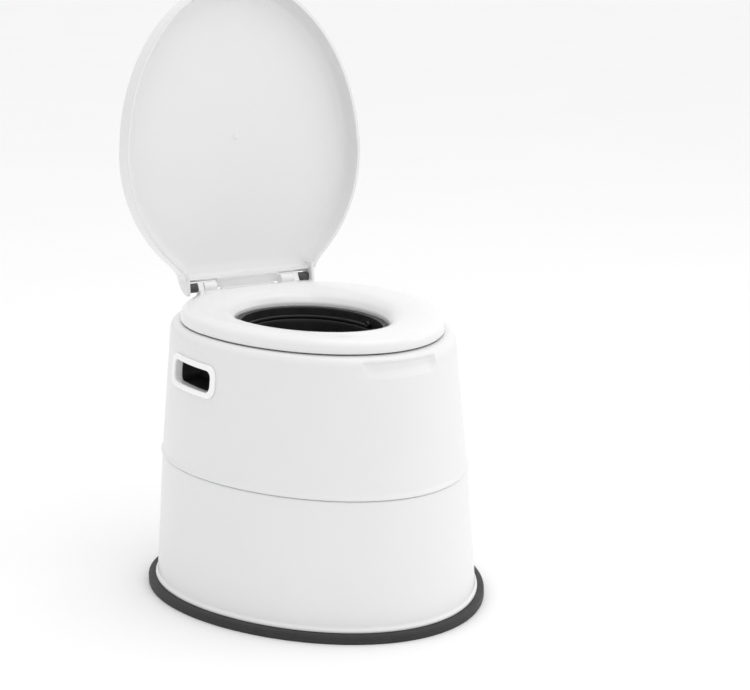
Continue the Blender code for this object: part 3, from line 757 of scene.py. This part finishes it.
def build_lid(material):
    """The lid, made closed and then opened about the hinge. The crown is its outer face and the
    ceiling its inner one, each given by its height at the edge and its rise towards the middle."""
    rim = HINGE_Z - LID_RIM_BELOW_HINGE
    crown = (LID_DEPTH + 0.3, 1.0)
    ceiling = (25.3, 0.9)
    outer = smooth_profile(((0.3, 0.3), (0.0, 1.2), (0.1, 14.0), (0.4, 23.4), (1.4, 26.0), (3.4, 27.5),
                            (7.0, LID_DEPTH), (22.0, crown[0])), 5)
    inner = smooth_profile(((24.0, ceiling[0]), (16.0, 24.6), (10.0, 22.4), (6.2, 18.2), (4.2, 11.0),
                            (3.0, 0.6)), 5)
    rounded_rim = [(2.7, 0.15), (1.9, -0.05), (1.0, 0.0)]
    under = [lid_loop(inset, height) for inset, height in inner]
    top = [lid_loop(inset, height) for inset, height in rounded_rim + outer]

    def plateau(edge, base, rise, shares):
        return [shrunken_loop(edge, share, rim + base + rise * (1.0 - share ** 2)) for share in shares]

    shares = (0.1, 0.3, 0.5, 0.7, 0.88)
    loops = [[Vector((0.0, LID_MIDDLE_Y, rim + sum(ceiling)))]]
    loops += plateau(under[0], *ceiling, shares) + under
    loops += top + plateau(top[-1], *crown, shares[::-1])
    loops += [[Vector((0.0, LID_MIDDLE_Y, rim + sum(crown)))]]
    pieces = [loft("lid_shell", loops, material, closed=False)]
    flap_outline = [(HINGE_Y - 9.4, HINGE_Z - 1.2), (HINGE_Y - 7.8, HINGE_Z - 1.2),
                    (HINGE_Y - 5.4, HINGE_Z + 0.4), (HINGE_Y + 2.0, HINGE_Z + 0.4),
                    (HINGE_Y + 2.0, HINGE_Z + 2.9), (HINGE_Y - 9.4, HINGE_Z + 2.9)]
    flap = plate("flap", flap_outline, (-FLAP_HALF_WIDTH, FLAP_HALF_WIDTH), material)
    soften(flap, 0.8)
    pieces.append(flap)
    for _, side in SIDES:
        outline = [LID_EAR_CORNER, (LID_EAR_BACK_Y, LID_EAR_CORNER[1])]
        outline += arc(LID_EAR_CORNER, LID_EAR_RADII, 6.0, 90.0)
        ear = plate("ear", outline, (side * LID_EAR_X[0], side * LID_EAR_X[1]), material)
        soften(ear, 0.7)
        cut(ear, cylinder("bore", (side * 60.0, HINGE_Y, HINGE_Z),
                          (side * LID_EAR_BORE_END_X, HINGE_Y, HINGE_Z), PIN_HOLE_RADIUS, material))
        pieces.append(ear)
    pieces.append(cylinder("gate_mark", (0.0, GATE_MARK_Y, rim + 25.6), (0.0, GATE_MARK_Y, rim + 27.0),
                           GATE_MARK_RADIUS, material, 32, chamfer=0.5))
    lid = gather("lid_moulded", pieces)
    hinge = Vector((0.0, HINGE_Y, HINGE_Z)) * MM
    turn = Matrix.Rotation(-math.radians(LID_OPEN_ANGLE), 4, "X")
    lid.data.transform(Matrix.Translation(hinge) @ turn @ Matrix.Translation(-hinge))
    finish_piece(lid, "lid", "seat_white", "lid")


def build_hinge(name, side, white, dark):
    """The post on the deck and the dark bush beside it; pin, bolt, washer and nut are the CAD's."""
    outline = [(POST_FRONT_Y, DECK_Z + GAP), (HINGE_Y + POST_RADIUS, DECK_Z + GAP)]
    outline += arc((HINGE_Y, HINGE_Z), (POST_RADIUS, POST_RADIUS), 0.0, 180.0)
    post = plate(f"hinge_stand_{name}", outline, (side * POST_X[0], side * POST_X[1]), white)
    soften(post, 0.7)
    finish_piece(post, "upper_body", "seat_white", f"hinge_post_{name}")
    ends = [(side * x, HINGE_Y, HINGE_Z) for x in BUSH_X]
    bush = cylinder(f"hinge_spacer_{name}", ends[0], ends[1], BUSH_RADIUS, dark, 64, chamfer=0.6)
    finish_piece(bush, "upper_body", "dark_grey_plastic", f"hinge_bush_{name}")


# ---------------------------------------------------------------- bucket

def build_bucket(material):
    ledge_inner = 12.2
    profile = ((24.0, BUCKET_BOTTOM_Z, 0.0), (21.0, BUCKET_BOTTOM_Z + 0.6, 2.0),
               (20.0, BUCKET_BOTTOM_Z + 5.0, 2.5), (9.8, 281.5, 1.5), (4.6, 283.0, 1.0),
               (4.6, 296.2, 0.5), (2.2, 296.2, 0.4), (2.2, FLANGE_TOP_Z, 0.9), (7.0, FLANGE_TOP_Z, 1.0),
               (7.0, BUCKET_LEDGE_Z, 1.2), (ledge_inner, BUCKET_LEDGE_Z, 0.9),
               (ledge_inner + 0.4, 283.0, 0.8),
               (22.2, BUCKET_BOTTOM_Z + 6.0, 4.0), (26.0, BUCKET_BOTTOM_Z + 2.5, 0.0),
               (45.0, BUCKET_BOTTOM_Z + 2.5, 0.0))
    loops = [hole_oval(inset, z) for inset, z in filleted(profile, closed=False)]
    bucket = loft("bucket_moulded", loops, material, closed=False)
    finish_piece(bucket, "bucket", "black_plastic", "bucket")


def build_bail(material):
    """Carrying handle of the bucket, folded back on the ledge inside the collar."""
    low, high = BUCKET_LEDGE_Z + 0.5, BAIL_Z
    middle = (BAIL_OUTER_INSET + BAIL_INNER_INSET) / 2.0
    half_thickness = (BAIL_INNER_INSET - BAIL_OUTER_INSET) / 2.0
    loops = []
    steps = 72
    for step in range(steps + 1):
        angle = math.pi * step / steps
        loop = []
        for turn in range(16):
            around = math.tau * turn / 16.0
            across = math.copysign(abs(math.cos(around)) ** 0.6, math.cos(around))
            up = math.copysign(abs(math.sin(around)) ** 0.6, math.sin(around))
            loop.append(hole_point(middle - half_thickness * across,
                                   (low + high) / 2.0 + (high - low) / 2.0 * up, angle))
        loops.append(loop)
    pieces = [loft("bail_bow", loops, material, closed=False)]
    for _, side in SIDES:
        ends = [(side * (HOLE_HALF_WIDTH - inset), HOLE_CENTRE_Y, BAIL_Z)
                for inset in (BAIL_INNER_INSET, BAIL_OUTER_INSET)]
        eye = cylinder("eye", ends[0], ends[1], BAIL_EYE_RADIUS, material, 40, chamfer=0.4)
        cut(eye, cylinder("bore", (side * 60.0, HOLE_CENTRE_Y, BAIL_Z),
                          (side * 80.0, HOLE_CENTRE_Y, BAIL_Z), BAIL_PIN_RADIUS + GAP, material, 24))
        pieces.append(eye)
    finish_piece(gather("bail_moulded", pieces), "bail", "black_plastic", "bucket_bail")


# ---------------------------------------------------------------- floor, light and camera

FLOOR_HALF_SIZE = 15000.0
# Camera: angles in degrees, then the point it looks at and how far it stands from there
CAMERA_AZIMUTH = -29.6
CAMERA_ELEVATION = 12.8
CAMERA_DISTANCE = 2597.8
CAMERA_ACROSS = 43.1
CAMERA_HEIGHT = 274.65
CAMERA_TARGET_Y = 8.0
CAMERA_LENS = 111.984
CAMERA_SENSOR = 36.0
CAMERA_SHIFT = (0.0252, 0.0024)


def build_floor():
    nodes = Nodes("floor_pale", (0.96, 0.96, 0.96), 0.8)
    nodes.link(nodes.ramp(nodes.noise(400.0, 2.0), ((0.3, (0.95, 0.95, 0.95)), (0.7, (0.96, 0.96, 0.96)))),
               nodes.shader.inputs["Base Color"])
    half = FLOOR_HALF_SIZE
    corners = [(-half, -half, 0.0), (half, -half, 0.0), (half, half, 0.0), (-half, half, 0.0)]
    floor = make_object("floor", corners, [(0, 1, 2, 3)], nodes.material)


def build_camera():
    azimuth = math.radians(CAMERA_AZIMUTH)
    elevation = math.radians(CAMERA_ELEVATION)
    back = Vector((math.sin(azimuth) * math.cos(elevation), -math.cos(azimuth) * math.cos(elevation),
                   math.sin(elevation)))
    right = Vector((math.cos(azimuth), math.sin(azimuth), 0.0))
    target = right * CAMERA_ACROSS + Vector((0.0, CAMERA_TARGET_Y, CAMERA_HEIGHT))
    place = back * CAMERA_DISTANCE + target
    data = bpy.data.cameras.new("camera")
    data.sensor_width = CAMERA_SENSOR
    data.lens = CAMERA_LENS
    data.shift_x, data.shift_y = CAMERA_SHIFT
    data.clip_end = 100.0
    camera = bpy.data.objects.new("camera", data)
    camera.location = place * MM
    camera.rotation_euler = (-back).to_track_quat("-Z", "Y").to_euler()
    bpy.context.scene.collection.objects.link(camera)
    bpy.context.scene.camera = camera


def area_light(name, place, target, size, power):
    """A soft rectangular light, with places in metres and power in watts."""
    data = bpy.data.lights.new(name, "AREA")
    data.shape = "RECTANGLE"
    data.size, data.size_y = size
    data.energy = power
    light = bpy.data.objects.new(name, data)
    light.location = place
    light.rotation_euler = (Vector(target) - Vector(place)).to_track_quat("-Z", "Y").to_euler()
    bpy.context.scene.collection.objects.link(light)


def build_light():
    """A white room that is brighter towards one side, and two soft lights."""
    world = bpy.data.worlds.new("studio")
    world.use_nodes = True
    tree = world.node_tree
    direction = tree.nodes.new("ShaderNodeTexCoord")
    towards_window = tree.nodes.new("ShaderNodeVectorMath")
    towards_window.operation = "DOT_PRODUCT"
    towards_window.inputs[1].default_value = (0.92, -0.3, 0.2)
    brightness = tree.nodes.new("ShaderNodeMapRange")
    for socket, number in (("From Min", -1.0), ("From Max", 1.0), ("To Min", 0.76), ("To Max", 1.12)):
        brightness.inputs[socket].default_value = number
    tree.links.new(direction.outputs["Generated"], towards_window.inputs[0])
    tree.links.new(towards_window.outputs["Value"], brightness.inputs["Value"])
    tree.links.new(brightness.outputs["Result"], tree.nodes["Background"].inputs["Strength"])
    tree.nodes["Background"].inputs["Color"].default_value = (1.0, 1.0, 1.0, 1.0)
    bpy.context.scene.world = world
    bpy.context.scene.view_settings.view_transform = "Standard"
    middle = (0.0, 0.0, 0.3)
    area_light("top", (0.2, -0.3, 2.6), middle, (2.2, 2.2), 12.0)
    area_light("right", (2.6, -0.9, 1.1), middle, (1.4, 1.8), 3.0)


# ---------------------------------------------------------------- everything

def main():
    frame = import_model()

    body_white = moulded_plastic("body_white_moulded", (0.805, 0.805, 0.805), 0.35, 0.25)
    bezel_white = moulded_plastic("bezel_white_moulded", (0.95, 0.95, 0.95), 0.16, 0.5, 2.2, 0.006)
    seat_white = moulded_plastic("seat_white_moulded", (0.84, 0.84, 0.84), 0.22, 0.35)
    # The lid is the seat's white plastic made a little darker: painted shade standing in for the lid's
    # duller look under the lights.
    lid_white_shaded = moulded_plastic("lid_white_painted_shade", (0.8, 0.8, 0.8), 0.22, 0.35)
    rubber = textured_black("rubber_grained", (0.018, 0.018, 0.019), 0.62, 0.7, 0.05)
    black = textured_black("black_moulded", (0.006, 0.006, 0.0063), 0.44, 1.1, 0.02)
    dark = textured_black("dark_grey_moulded", (0.045, 0.045, 0.048), 0.42, 0.9, 0.02)
    steel = drawn_steel("steel_drawn")

    build_base_ring(rubber)
    build_lower_shell(body_white)
    build_upper_shell(body_white)
    build_seat(seat_white)
    build_lid(lid_white_shaded)
    build_bucket(black)
    build_bail(black)
    for name, side in SIDES:
        build_handle(name, side, bezel_white, black)
        build_hinge(name, side, seat_white, dark)

    kept = {"seat_bumper": rubber, "hinge_pin": steel, "hinge_bolt": steel, "hinge_washer": steel,
            "hinge_nut": seat_white, "bail_pivot": steel}
    for name, node in frame["nodes"].items():
        for start, material in kept.items():
            if name.startswith(start):
                node.material_slots[0].material = material

    build_floor()
    build_light()
    build_camera()


main()
